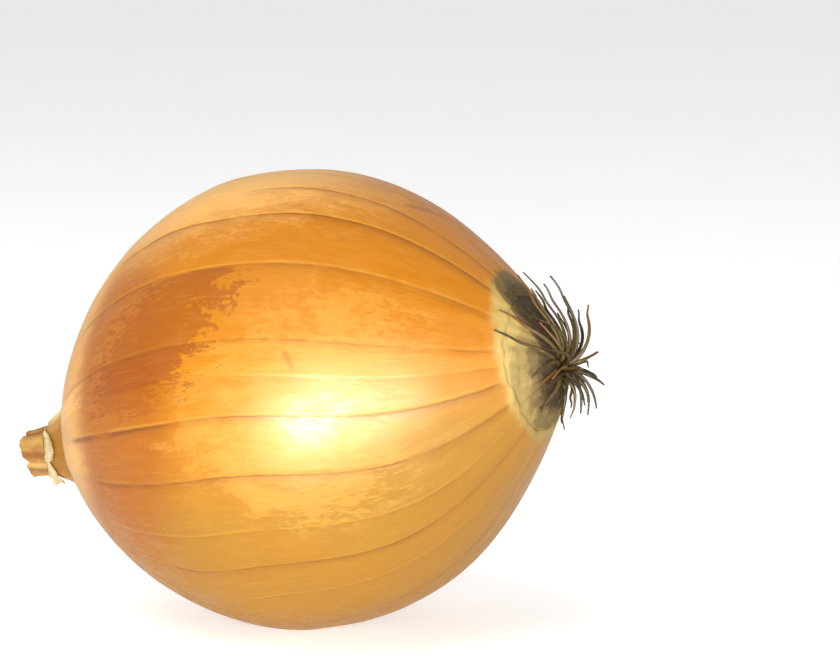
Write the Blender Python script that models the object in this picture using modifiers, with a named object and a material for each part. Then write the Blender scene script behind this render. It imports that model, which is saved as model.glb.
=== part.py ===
"""A yellow onion lying on its side, as one assembly of separate pieces.

Blender 4.5, metres, +Z up. The origin is the middle of the small flat spot that the bulb rests on,
+X runs from the neck to the roots and -Y is the front.

Every piece is made round the bulb's own axis, which is the local Z of the empty named bulb_axis.
A "station" is a place along that axis: 0 at the girth, below 0 towards the neck and above 0 towards
the roots. An "azimuth" is an angle round it: 0 at the underside, a quarter turn at the back, half a
turn at the top and three quarters at the front.
"""

import math
import random

import bmesh
import bpy
from mathutils import Vector

MM = 0.001
GAP = 0.3 * MM  # between pieces that touch in the real onion

# The bulb: a rounded shoulder on the neck's side and a longer taper on the roots' side.
GIRTH_RADIUS = 37.5 * MM
SHOULDER_LENGTH = 39.8 * MM
SHOULDER_POWERS = (1.7, 1.8)
TAPER_LENGTH = 53.5 * MM
TAPER_POWERS = (2.57, 0.8)
LOBES = ((2, 0.30 * MM, 0.9), (3, 0.22 * MM, 4.0), (5, 0.12 * MM, 2.1))  # waves round, height, turn
BULB_STEPS = 60
SHOULDER_RINGS = 22
TAPER_RINGS = 14

# How it lies: the roots' end is raised, and the lowest part of the belly is pressed flat.
PITCH = math.radians(12)
SPOT_DEPTH = 0.7 * MM

# The neck: a sleeve of dry skin that ends in a tear, with a stub of dried leaf bases seated in it.
SLEEVE_LENGTH = 6.0 * MM  # past the end of the shoulder
SLEEVE_END = -(SHOULDER_LENGTH + SLEEVE_LENGTH)
SLEEVE_WALL = 0.6 * MM
SLEEVE_SLOPE = 0.62
SLEEVE_FLARE = 20 * MM  # how far along the sleeve goes on widening, under the shoulder
SLEEVE_BLEND = 7.5 * MM
NECK_DROP = 1.6 * MM  # how far the neck's middle is below the bulb's axis
NECK_DROP_BEFORE = 24 * MM  # the drop starts this far before the sleeve's end
NECK_DROP_AFTER = 6 * MM  # and is whole this far past it
STUB_RADIUS = 3.8 * MM
STUB_SEAT = 5.0 * MM
STUB_LENGTH = 5.1 * MM
STUB_END_RADIUS = 3.7 * MM
STUB_FOLDS = 3
STUB_FOLD_DEPTH = 0.35 * MM
STUB_STEPS = 28

# The curls: strips of the sleeve's torn edge that roll outwards. Each is (middle azimuth, half its
# span, the roll's radius), and it narrows to a point at both ends.
CURLS = (
    (math.radians(254), math.radians(33), 1.05 * MM),
    (math.radians(321), math.radians(31), 0.95 * MM),
    (math.radians(105), math.radians(58), 0.95 * MM),
)
CURL_THICKNESS = 0.25 * MM
CURL_TURN = math.radians(215)
CURL_COLUMNS = 12
CURL_ROWS = 6

# The root plate: a woody dome in a shallow seat at the end of the taper.
PLATE_RADIUS = 9.6 * MM
PLATE_SEAT = 2.0 * MM
PLATE_HEIGHT = 4.6 * MM
PLATE_POWERS = (1.8, 1.0)
PLATE_EDGE = 0.3 * MM
SEAT_RIM = 1.1 * MM
PLATE_STEPS = 36
PLATE_RINGS = 8

# The roots: dry strands that spring from the middle of the plate, each over the next one out.
STRAND_COUNT = 44
TUFT_DROP = 1.6 * MM  # how far the middle of the tuft is below the bulb's axis
STRAND_DIAMETER = 0.55 * MM
STRAND_SPACING = 0.15 * MM
STRAND_REACH = (4.5 * MM, 8.5 * MM)
STRAND_UP_REACH = 5.5 * MM  # how much further the ones that lie upwards reach
STRAND_LIFT = 7.0 * MM
STRAND_CURL = math.radians(20)
STRAND_TIP = 0.6  # share of its thickness that a strand keeps at the tip
STRAND_POINTS = 9
GOLDEN_ANGLE = math.pi * (3 - math.sqrt(5))
SEED = 29

FINE = 1e-5  # merge distance for points that are the same point


def smooth_max(a, b, blend):
    """The larger of a and b, with the corner between them rounded over about blend."""
    h = max(blend - abs(a - b), 0.0) / blend
    return max(a, b) + h * h * blend / 4


def sleeve_end_radius():
    return STUB_RADIUS + GAP + SLEEVE_WALL


def shoulder_radius(station):
    along, out = SHOULDER_POWERS
    t = min(-station / SHOULDER_LENGTH, 1.0)
    return GIRTH_RADIUS * (1 - t**along) ** (1 / out)


def taper_radius(station):
    along, out = TAPER_POWERS
    return GIRTH_RADIUS * (1 - (station / TAPER_LENGTH) ** along) ** (1 / out)


def taper_station(radius):
    """Where the taper has this radius."""
    along, out = TAPER_POWERS
    return TAPER_LENGTH * (1 - (radius / GIRTH_RADIUS) ** out) ** (1 / along)


def neck_radius(station):
    """The sleeve, which flares towards the shoulder."""
    return sleeve_end_radius() + SLEEVE_SLOPE * min(station - SLEEVE_END, SLEEVE_FLARE)


def bulb_radius(station):
    """The outside of the bulb before its lobes, from the sleeve's end to the plate's seat."""
    if station >= 0:
        return taper_radius(station)
    return smooth_max(shoulder_radius(station), neck_radius(station), SLEEVE_BLEND)


def rim_radius():
    return PLATE_RADIUS + GAP + SEAT_RIM


def rim_station():
    return taper_station(rim_radius())


def plate_station(radius):
    """The top of the root plate at this distance from the axis."""
    out, up = PLATE_POWERS
    return rim_station() + GAP + PLATE_HEIGHT * (1 - min(radius / PLATE_RADIUS, 1.0) ** out) ** up


def root_end_station(radius):
    """The outside of the plate, past its edge that of the bulb, and a slope between the two."""
    if radius < PLATE_RADIUS:
        return plate_station(radius)
    past_edge = min((radius - PLATE_RADIUS) / (rim_radius() - PLATE_RADIUS), 1.0)
    return taper_station(max(radius, rim_radius())) + GAP * (1 - past_edge)


def lobe(station, azimuth):
    """How far the bulb's outside departs from round here. It dies away at both ends."""
    span = (station - SLEEVE_END) / (rim_station() - SLEEVE_END)
    fade = math.sin(math.pi * min(max(span, 0.0), 1.0)) ** 2
    return fade * sum(height * math.cos(waves * azimuth + turn) for waves, height, turn in LOBES)


def neck_drop(station):
    """How far the middle of the neck is below the bulb's axis here."""
    past_start = SLEEVE_END + NECK_DROP_BEFORE - station
    t = min(max(past_start / (NECK_DROP_BEFORE + NECK_DROP_AFTER), 0.0), 1.0)
    return NECK_DROP * t * t * (3 - 2 * t)


def on_axes(station, radius, azimuth):
    """A point in bulb_axis's own coordinates."""
    across = radius * math.cos(azimuth) + neck_drop(station)
    return Vector((across, radius * math.sin(azimuth), station))


def clear_scene():
    for old in list(bpy.data.objects):
        bpy.data.objects.remove(old, do_unlink=True)


def new_collection(name):
    made = bpy.data.collections.new(name)
    bpy.context.scene.collection.children.link(made)
    return made


def new_material(name, colour, roughness):
    made = bpy.data.materials.new(name)
    made.use_nodes = True
    shader = made.node_tree.nodes["Principled BSDF"]
    shader.inputs["Base Color"].default_value = (*colour, 1.0)
    shader.inputs["Roughness"].default_value = roughness
    shader.inputs["Metallic"].default_value = 0.0
    made.diffuse_color = (*colour, 1.0)
    return made


def new_object(name, data, collection, material, axis):
    """An object that holds data, placed by the bulb's axis."""
    made = bpy.data.objects.new(name, data)
    made.parent = axis
    data.materials.append(material)
    collection.objects.link(made)
    return made


def lowest_station():
    """The station whose underside lies lowest once the bulb is pitched."""
    steps = 2000
    stations = [SLEEVE_END * (1 - i / steps) for i in range(steps)]
    return min(stations, key=lambda s: s * math.sin(PITCH) - bulb_radius(s) * math.cos(PITCH))


def make_axis(collection):
    """The empty that every piece hangs from. Its local Z is the bulb's axis, from neck to roots."""
    station = lowest_station()
    radius = bulb_radius(station)
    across = station * math.cos(PITCH) + radius * math.sin(PITCH)
    down = radius * math.cos(PITCH) - station * math.sin(PITCH)
    axis = bpy.data.objects.new("bulb_axis", None)
    axis.location = (-across, 0, down - SPOT_DEPTH)
    axis.rotation_euler = (0, math.pi / 2 - PITCH, 0)
    collection.objects.link(axis)
    return axis


def turned_mesh(name, profile, steps):
    """A mesh turned round Z from (station, radius) points that run down the outside."""
    outline = bpy.data.meshes.new(name + "_profile")
    points = [(radius, 0, station) for station, radius in profile]
    outline.from_pydata(points, [(i, i + 1) for i in range(len(points) - 1)], [])
    blank = bpy.data.objects.new(name + "_profile", outline)
    bpy.context.scene.collection.objects.link(blank)
    screw = blank.modifiers.new("turn", "SCREW")
    screw.axis = "Z"
    screw.steps = steps
    screw.render_steps = steps
    screw.use_merge_vertices = True
    screw.merge_threshold = FINE
    bpy.context.view_layer.update()
    mesh = bpy.data.meshes.new_from_object(blank.evaluated_get(bpy.context.evaluated_depsgraph_get()))
    mesh.name = name
    bpy.data.objects.remove(blank, do_unlink=True)
    return mesh


def move_outside(mesh, moved):
    """Passes each point's (station, radius, azimuth) through moved()."""
    for vertex in mesh.vertices:
        x, y, station = vertex.co
        vertex.co = on_axes(*moved(station, math.hypot(x, y), math.atan2(y, x)))


def shade(mesh, sharp_angle=math.radians(35)):
    mesh.shade_smooth()
    mesh.set_sharp_from_angle(angle=sharp_angle)


def bulb_profile():
    """From the middle of the plate's seat, out over its rim, along the bulb and into the neck."""
    seat_radius = PLATE_RADIUS + GAP
    seat_floor = rim_station() - PLATE_SEAT
    taper = [rim_station() * (1 - i / TAPER_RINGS) for i in range(TAPER_RINGS)]
    shoulder = [SLEEVE_END * (i / SHOULDER_RINGS) ** 0.8 for i in range(SHOULDER_RINGS + 1)]
    socket_radius = STUB_RADIUS + GAP
    socket_floor = SLEEVE_END + STUB_SEAT + GAP
    return [
        (seat_floor, 0),
        (seat_floor, seat_radius),
        (rim_station(), seat_radius),
        *((station, bulb_radius(station)) for station in taper + shoulder),
        (SLEEVE_END, socket_radius),
        (socket_floor, socket_radius),
        (socket_floor, 0),
    ]


def make_bulb(collection, cutters, axis):
    mesh = turned_mesh("bulb", bulb_profile(), BULB_STEPS)

    def lobed(station, radius, azimuth):
        outside = radius > bulb_radius(min(max(station, SLEEVE_END), rim_station())) - FINE
        return station, radius + lobe(station, azimuth) * outside, azimuth

    move_outside(mesh, lobed)
    shade(mesh)
    skin = new_material("golden_skin", (0.72, 0.32, 0.06), 0.38)
    bulb = new_object("bulb", mesh, collection, skin, axis)
    size = 4 * GIRTH_RADIUS
    bpy.ops.mesh.primitive_cube_add(size=size, location=(0, 0, -size / 2))
    ground = bpy.context.object
    ground.name = "ground_cutter"
    for home in list(ground.users_collection):
        home.objects.unlink(ground)
    cutters.objects.link(ground)
    ground.hide_render = True
    ground.display_type = "WIRE"
    flatten = bulb.modifiers.new("rest_spot", "BOOLEAN")
    flatten.operation = "DIFFERENCE"
    flatten.object = ground


def make_neck_stub(collection, axis):
    """Dried leaf bases: a round foot in the sleeve and a folded head with a ragged end."""
    head_top = SLEEVE_END - GAP
    head_end = head_top - STUB_LENGTH
    head_radius = sleeve_end_radius() - GAP
    stations = [head_top + (head_end - head_top) * i / 5 for i in range(6)]
    radii = [head_radius + (STUB_END_RADIUS - head_radius) * (i / 5) ** 0.7 for i in range(6)]
    profile = [
        (SLEEVE_END + STUB_SEAT, 0),
        (SLEEVE_END + STUB_SEAT, STUB_RADIUS),
        (head_top, STUB_RADIUS),
        *zip(stations, radii),
        (head_end + STUB_LENGTH / 6, STUB_END_RADIUS * 0.55),
        (head_end + STUB_LENGTH / 5, 0),
    ]
    mesh = turned_mesh("neck_stub", profile, STUB_STEPS)

    def folded(station, radius, azimuth):
        depth = min(max((head_top - station) / STUB_LENGTH, 0.0), 1.0)
        fold = STUB_FOLD_DEPTH * min(2 * depth, 1.0) * (math.cos(STUB_FOLDS * azimuth) - 0.6)
        ragged = 0.16 * STUB_LENGTH * depth**3 * math.sin(7 * azimuth) * math.sin(2 * azimuth + 1)
        return station + ragged, radius + fold * radius / head_radius, azimuth

    move_outside(mesh, folded)
    shade(mesh)
    husk = new_material("dried_neck", (0.55, 0.30, 0.09), 0.7)
    new_object("neck_stub", mesh, collection, husk, axis)


def make_skin_curl(number, curl, material, collection, axis):
    """A thin strip rolled outwards round the sleeve's end, as an open sheet with a Solidify."""
    middle, half_span, roll_radius = curl
    mesh = bpy.data.meshes.new(f"skin_curl_{number}")
    sheet = bmesh.new()
    bmesh.ops.create_grid(sheet, x_segments=CURL_COLUMNS, y_segments=CURL_ROWS, size=1)
    foot = bulb_radius(SLEEVE_END) + GAP + CURL_THICKNESS
    for vertex in sheet.verts:
        round_span, across = vertex.co.x, (vertex.co.y + 1) / 2
        narrow = 0.25 + 0.75 * (1 - round_span**2)
        turn = CURL_TURN * across
        radius = foot + narrow * roll_radius * (1 - math.cos(turn)) * 0.8
        station = SLEEVE_END + narrow * roll_radius * (2.2 * across - 0.5 * math.sin(turn))
        clear = bulb_radius(max(station, SLEEVE_END)) + GAP + CURL_THICKNESS
        vertex.co = on_axes(station, max(radius, clear), middle + half_span * round_span)
    sheet.to_mesh(mesh)
    sheet.free()
    shade(mesh)
    strip = new_object(mesh.name, mesh, collection, material, axis)
    skin = strip.modifiers.new("skin_thickness", "SOLIDIFY")
    skin.thickness = CURL_THICKNESS
    skin.offset = 0


def make_root_plate(collection, axis):
    floor = rim_station() - PLATE_SEAT + GAP
    rings = [PLATE_RADIUS * math.sin(math.pi / 2 * i / PLATE_RINGS) for i in range(PLATE_RINGS)]
    profile = [
        *((plate_station(radius), radius) for radius in rings),
        (rim_station() + GAP, PLATE_RADIUS),
        (floor + PLATE_EDGE, PLATE_RADIUS),
        (floor, PLATE_RADIUS - PLATE_EDGE),
        (floor, 0),
    ]
    mesh = turned_mesh("root_plate", profile, PLATE_STEPS)
    shade(mesh)
    wood = new_material("root_plate", (0.16, 0.11, 0.05), 0.85)
    new_object("root_plate", mesh, collection, wood, axis)


def strand_path(rank):
    """The points of one strand. Rank 0 springs from the middle, and a higher rank lies lower."""
    dice = random.Random(SEED * 1000 + rank)
    pitch = STRAND_DIAMETER + STRAND_SPACING
    base = 0.62 * pitch * math.sqrt(rank + 0.5)
    start = rank * GOLDEN_ANGLE
    reach = dice.uniform(*STRAND_REACH) + STRAND_UP_REACH * max(-math.cos(start), 0.0)
    curl = dice.uniform(-STRAND_CURL, STRAND_CURL)
    lift = STRAND_LIFT * (1 - rank / STRAND_COUNT)
    points = []
    for i in range(STRAND_POINTS):
        t = i / (STRAND_POINTS - 1)
        radius = base + reach * t**1.25
        azimuth = start + curl * t * t
        rise = STRAND_DIAMETER / 2 + lift * t**0.7
        across = TUFT_DROP + radius * math.cos(azimuth)
        along = radius * math.sin(azimuth)
        from_axis = math.hypot(across, along)
        points.append(Vector((across, along, root_end_station(from_axis) + GAP + rise)))
    return points


def make_root_strand(rank, material, collection, axis):
    curve = bpy.data.curves.new(f"root_{rank + 1:02d}", "CURVE")
    curve.dimensions = "3D"
    curve.bevel_depth = STRAND_DIAMETER / 2
    curve.bevel_resolution = 1
    curve.use_fill_caps = True
    path = strand_path(rank)
    spline = curve.splines.new("POLY")
    spline.points.add(len(path) - 1)
    for i, (point, place) in enumerate(zip(spline.points, path)):
        point.co = (*place, 1.0)
        point.radius = 1 - (1 - STRAND_TIP) * i / (len(path) - 1)
    new_object(curve.name, curve, collection, material, axis)


def main():
    clear_scene()
    onion = new_collection("onion")
    cutters = new_collection("cutters")
    axis = make_axis(onion)
    make_bulb(onion, cutters, axis)
    make_neck_stub(onion, axis)
    pale_skin = new_material("torn_skin", (0.78, 0.66, 0.40), 0.55)
    for number, curl in enumerate(CURLS, start=1):
        make_skin_curl(number, curl, pale_skin, onion, axis)
    make_root_plate(onion, axis)
    dry_root = new_material("dry_root", (0.20, 0.13, 0.06), 0.8)
    for rank in range(STRAND_COUNT):
        make_root_strand(rank, dry_root, onion, axis)


main()
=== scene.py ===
"""The looks of a yellow onion that lies on its side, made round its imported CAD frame.

Metres, +Z up, in the frame of the CAD. Every surface is first made round the bulb's own axis: a
"station" is a place along it, 0 at the girth, below 0 towards the neck and above 0 towards the roots,
and an "azimuth" is an angle round it, 0 at the underside, a quarter turn at the back, half a turn at
the top and three quarters at the front.
"""

import math
import random

import bpy
import numpy as np
from mathutils import Matrix, Vector, noise


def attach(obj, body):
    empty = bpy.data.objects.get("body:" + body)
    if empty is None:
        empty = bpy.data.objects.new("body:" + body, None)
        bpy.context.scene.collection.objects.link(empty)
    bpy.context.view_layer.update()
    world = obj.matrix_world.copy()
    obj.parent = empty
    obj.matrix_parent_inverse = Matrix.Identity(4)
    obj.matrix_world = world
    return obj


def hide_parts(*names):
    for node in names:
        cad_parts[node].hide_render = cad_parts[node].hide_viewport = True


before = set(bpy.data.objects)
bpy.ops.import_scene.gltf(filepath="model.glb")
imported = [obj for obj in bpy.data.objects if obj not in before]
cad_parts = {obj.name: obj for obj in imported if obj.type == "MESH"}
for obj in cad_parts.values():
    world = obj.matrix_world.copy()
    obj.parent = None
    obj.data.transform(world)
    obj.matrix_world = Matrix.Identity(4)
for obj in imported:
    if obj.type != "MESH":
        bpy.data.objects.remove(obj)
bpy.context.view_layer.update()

MM = 0.001
TURN = 2 * math.pi

# ---------------------------------------------------------------- the CAD's own sizes and formulas
GAP = 0.3 * MM
GIRTH_RADIUS = 37.5 * MM
SHOULDER_LENGTH = 39.8 * MM
SHOULDER_POWERS = (1.7, 1.8)
TAPER_LENGTH = 53.5 * MM
TAPER_POWERS = (2.57, 0.8)
LOBES = ((2, 0.30 * MM, 0.9), (3, 0.22 * MM, 4.0), (5, 0.12 * MM, 2.1))
PITCH = math.radians(12)
SPOT_DEPTH = 0.7 * MM
SLEEVE_LENGTH = 6.0 * MM
SLEEVE_END = -(SHOULDER_LENGTH + SLEEVE_LENGTH)
SLEEVE_WALL = 0.6 * MM
SLEEVE_SLOPE = 0.62
SLEEVE_FLARE = 20 * MM
SLEEVE_BLEND = 7.5 * MM
NECK_DROP = 1.6 * MM
NECK_DROP_BEFORE = 24 * MM
NECK_DROP_AFTER = 6 * MM
STUB_RADIUS = 3.8 * MM
STUB_LENGTH = 5.1 * MM
STUB_END_RADIUS = 3.7 * MM
PLATE_RADIUS = 9.6 * MM
PLATE_HEIGHT = 4.6 * MM
PLATE_POWERS = (1.8, 1.0)
SEAT_RIM = 1.1 * MM
STRAND_COUNT = 44
TUFT_DROP = 1.6 * MM
STRAND_DIAMETER = 0.55 * MM
STRAND_SPACING = 0.15 * MM
STRAND_REACH = (4.5 * MM, 8.5 * MM)
STRAND_UP_REACH = 5.5 * MM
STRAND_LIFT = 7.0 * MM
STRAND_CURL = math.radians(20)
GOLDEN_ANGLE = math.pi * (3 - math.sqrt(5))
SEED = 29
FLOOR_SAMPLES = 2000  # places along the shoulder that are tried for the lowest one


def smooth_max(a, b, blend):
    h = np.maximum(blend - np.abs(a - b), 0.0) / blend
    return np.maximum(a, b) + h * h * blend / 4


def shoulder_radius(station):
    along, out = SHOULDER_POWERS
    t = np.clip(-station / SHOULDER_LENGTH, 0.0, 1.0)
    return GIRTH_RADIUS * (1 - t**along) ** (1 / out)


def taper_radius(station):
    along, out = TAPER_POWERS
    t = np.clip(station / TAPER_LENGTH, 0.0, 1.0)
    return GIRTH_RADIUS * (1 - t**along) ** (1 / out)


def taper_station(radius):
    along, out = TAPER_POWERS
    return TAPER_LENGTH * (1 - (radius / GIRTH_RADIUS) ** out) ** (1 / along)


def sleeve_end_radius():
    return STUB_RADIUS + GAP + SLEEVE_WALL


def neck_radius(station):
    return sleeve_end_radius() + SLEEVE_SLOPE * np.minimum(station - SLEEVE_END, SLEEVE_FLARE)


def bulb_radius(station):
    station = np.asarray(station, float)
    neck = smooth_max(shoulder_radius(station), neck_radius(station), SLEEVE_BLEND)
    return np.where(station >= 0, taper_radius(station), neck)


RIM_RADIUS = PLATE_RADIUS + GAP + SEAT_RIM
RIM_STATION = float(taper_station(RIM_RADIUS))


def plate_station(radius):
    out, up = PLATE_POWERS
    t = np.clip(radius / PLATE_RADIUS, 0.0, 1.0)
    return RIM_STATION + GAP + PLATE_HEIGHT * (1 - t**out) ** up


def root_end_station(radius):
    radius = np.asarray(radius, float)
    past_edge = np.clip((radius - PLATE_RADIUS) / (RIM_RADIUS - PLATE_RADIUS), 0.0, 1.0)
    beyond = taper_station(np.clip(radius, RIM_RADIUS, GIRTH_RADIUS)) + GAP * (1 - past_edge)
    return np.where(radius < PLATE_RADIUS, plate_station(radius), beyond)


def lobe(station, azimuth):
    span = np.clip((station - SLEEVE_END) / (RIM_STATION - SLEEVE_END), 0.0, 1.0)
    fade = np.sin(np.pi * span) ** 2
    return fade * sum(height * np.cos(waves * azimuth + turn) for waves, height, turn in LOBES)


def neck_drop(station):
    past_start = SLEEVE_END + NECK_DROP_BEFORE - station
    t = np.clip(past_start / (NECK_DROP_BEFORE + NECK_DROP_AFTER), 0.0, 1.0)
    return NECK_DROP * t * t * (3 - 2 * t)


def axis_frame():
    """From the bulb's own axes to the row's."""
    stations = SLEEVE_END * (1 - np.arange(FLOOR_SAMPLES) / FLOOR_SAMPLES)
    heights = stations * math.sin(PITCH) - bulb_radius(stations) * math.cos(PITCH)
    station = float(stations[np.argmin(heights)])
    radius = float(bulb_radius(station))
    across = station * math.cos(PITCH) + radius * math.sin(PITCH)
    down = radius * math.cos(PITCH) - station * math.sin(PITCH)
    turn = Matrix.Rotation(math.pi / 2 - PITCH, 4, "Y")
    return Matrix.Translation((-across, 0, down - SPOT_DEPTH)) @ turn


AXIS = axis_frame()
AXIS_NP = np.array(AXIS)


def place(station, radius, azimuth):
    """Points in the row's frame, as an array of N by 3."""
    station, radius, azimuth = np.broadcast_arrays(station, radius, azimuth)
    across = radius * np.cos(azimuth) + neck_drop(station)
    local = np.stack([across.ravel(), (radius * np.sin(azimuth)).ravel(), station.ravel()], 1)
    return local @ AXIS_NP[:3, :3].T + AXIS_NP[:3, 3]


def ease(low, high, value):
    """0 below low and 1 above high, with a smooth rise between."""
    t = np.clip((value - low) / (high - low), 0.0, 1.0)
    return t * t * (3 - 2 * t)


def bump_at(value, middle, width):
    return np.exp(-(((value - middle) / width) ** 2))


def apart(azimuth, middle):
    """The smaller angle between two azimuths, with its sign."""
    return (azimuth - middle + math.pi) % TURN - math.pi


def noise_field(points, size, seed):
    """Perlin noise for an array of points, about -1 to 1, with features of this size."""
    shift = Vector((seed * 17.3, seed * 9.1, seed * 5.7))
    flat = points.reshape(-1, 3) / size
    values = [noise.noise(Vector(p) + shift) for p in flat]
    return np.array(values).reshape(points.shape[:-1])


# ---------------------------------------------------------------- the veins of the skin
# Each vein is (azimuth in degrees, how dark it is, how light its crest is, its first and its last
# station in millimetres). The front ones are given; the others carry on round the back. How dark
# sets its darker line and the painted shade in its crease; how light sets the painted highlight on
# its lip.
FRONT_VEINS = (
    (186, 0.35, 0.3, -30, 44),
    (199, 0.75, 0.7, 8, 44),
    (211, 0.85, 0.8, -16, 44),
    (228, 0.55, 0.75, -26, 44),
    (248, 0.45, 0.25, -34, 44),
    (257, 0.25, 0.35, 12, 44),
    (266.5, 1.0, 0.9, -30, 44),
    (281, 0.75, 0.45, -24, 44),
    (296, 0.25, 0.75, -22, 40),
    (307, 0.7, 0.35, -12, 44),
    (319, 0.2, 0.6, -4, 38),
    (337, 0.6, 0.2, 4, 42),
    (350, 0.3, 0.4, -20, 44),
)
BACK_VEIN_COUNT = 13
BACK_VEIN_SHIFT = 0.18  # of the space between two
BACK_VEIN_DARK = (0.2, 0.9)
BACK_VEIN_LIGHT = (0.2, 0.8)
BACK_VEIN_FIRST = (-32, 0)
BACK_VEIN_LAST = (34, 46)
VEIN_STEP = 0.07 * MM  # the drop at a vein of full strength
VEIN_START_FADE = (-5, 7)  # millimetres from its first station over which it sets in
VEIN_END_FADE = (-4, 5)  # and from its last, over which it dies out
VEIN_PULL = math.radians(19)  # how far the veins bend round at the root end
VEIN_PULL_TO = math.radians(52)
VEIN_PULL_END = 42 * MM
VEIN_PULL_POWER = 1.3
CREST_SHARE = 0.96  # where a panel ends in a crest, as a share of the way from vein to vein
PANEL_COLUMNS = (0, 0.05, 0.12, 0.2, 0.28, 0.36, 0.44, 0.52, 0.6, 0.68, 0.76, 0.84, 0.91, CREST_SHARE)


def all_veins():
    """Every vein from just past 0 degrees round to 360. Seeded dice space the hidden ones."""
    dice = random.Random(SEED)
    first, last = FRONT_VEINS[-1][0] - 360, FRONT_VEINS[0][0]
    gap = (last - first) / (BACK_VEIN_COUNT + 1)
    hidden = []
    for i in range(1, BACK_VEIN_COUNT + 1):
        azimuth = first + gap * i + dice.uniform(-BACK_VEIN_SHIFT, BACK_VEIN_SHIFT) * gap
        ranges = (BACK_VEIN_DARK, BACK_VEIN_LIGHT, BACK_VEIN_FIRST, BACK_VEIN_LAST)
        hidden.append((azimuth, *(dice.uniform(*ends) for ends in ranges)))
    return hidden + list(FRONT_VEINS)


VEINS = all_veins()
VEIN_COUNT = len(VEINS)
VEIN_AZIMUTHS = np.radians([vein[0] for vein in VEINS])
PANEL_EDGES = np.append(VEIN_AZIMUTHS, VEIN_AZIMUTHS[0] + TURN)


def pull_at(station):
    return VEIN_PULL * ease(0.0, VEIN_PULL_END, station) ** VEIN_PULL_POWER


def azimuth_of(place_round, station):
    """The azimuth of a place counted in veins, 0 to VEIN_COUNT, at a station."""
    azimuth = np.interp(place_round, np.arange(VEIN_COUNT + 1), PANEL_EDGES)
    return azimuth + pull_at(station) * np.sin(VEIN_PULL_TO - azimuth)


def vein_facts(place_round, station):
    """How dark the nearest vein is here, and how light its crest is."""
    nearest = np.rint(place_round).astype(int) % VEIN_COUNT
    table = np.array([vein[1:] for vein in VEINS])[nearest]
    dark, light, first, last = np.moveaxis(table, -1, 0)
    mm = station / MM
    start_from, start_to = VEIN_START_FADE
    end_from, end_to = VEIN_END_FADE
    shown = ease(first + start_from, first + start_to, mm) * ease(last + end_to, last + end_from, mm)
    return dark * shown, light * shown


# ---------------------------------------------------------------- meshes
def build_mesh(name, points, faces, material):
    mesh = bpy.data.meshes.new(name)
    mesh.from_pydata([tuple(p) for p in points], [], faces)
    mesh.validate()
    mesh.shade_smooth()
    mesh.materials.append(material)
    piece = bpy.data.objects.new(name, mesh)
    bpy.context.scene.collection.objects.link(piece)
    return piece


def add_values(mesh, name, values):
    made = mesh.attributes.new(name, "FLOAT", "POINT")
    made.data.foreach_set("value", np.asarray(values, np.float32).ravel())


def grid_faces(rows, columns, closed):
    """Quads between rows of points that go round; row 0 is first. They face out of a turned shape
    whose rows run towards its lower stations."""
    faces = []
    for row in range(rows - 1):
        for column in range(columns if closed else columns - 1):
            a, b = row * columns + column, row * columns + (column + 1) % columns
            faces.append((a, b, b + columns, a + columns))
    return faces


def build_turned(name, points, columns, ends, material):
    """A closed body from rows of points that go round. Its ends fan out from the two points in ends."""
    faces = grid_faces(len(points) // columns, columns, True)
    first_end, last_end, last_row = len(points), len(points) + 1, len(points) - columns
    for column in range(columns):
        beside = (column + 1) % columns
        faces.append((beside, column, first_end))
        faces.append((last_row + column, last_row + beside, last_end))
    return build_mesh(name, np.vstack([points, ends]), faces, material)


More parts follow.
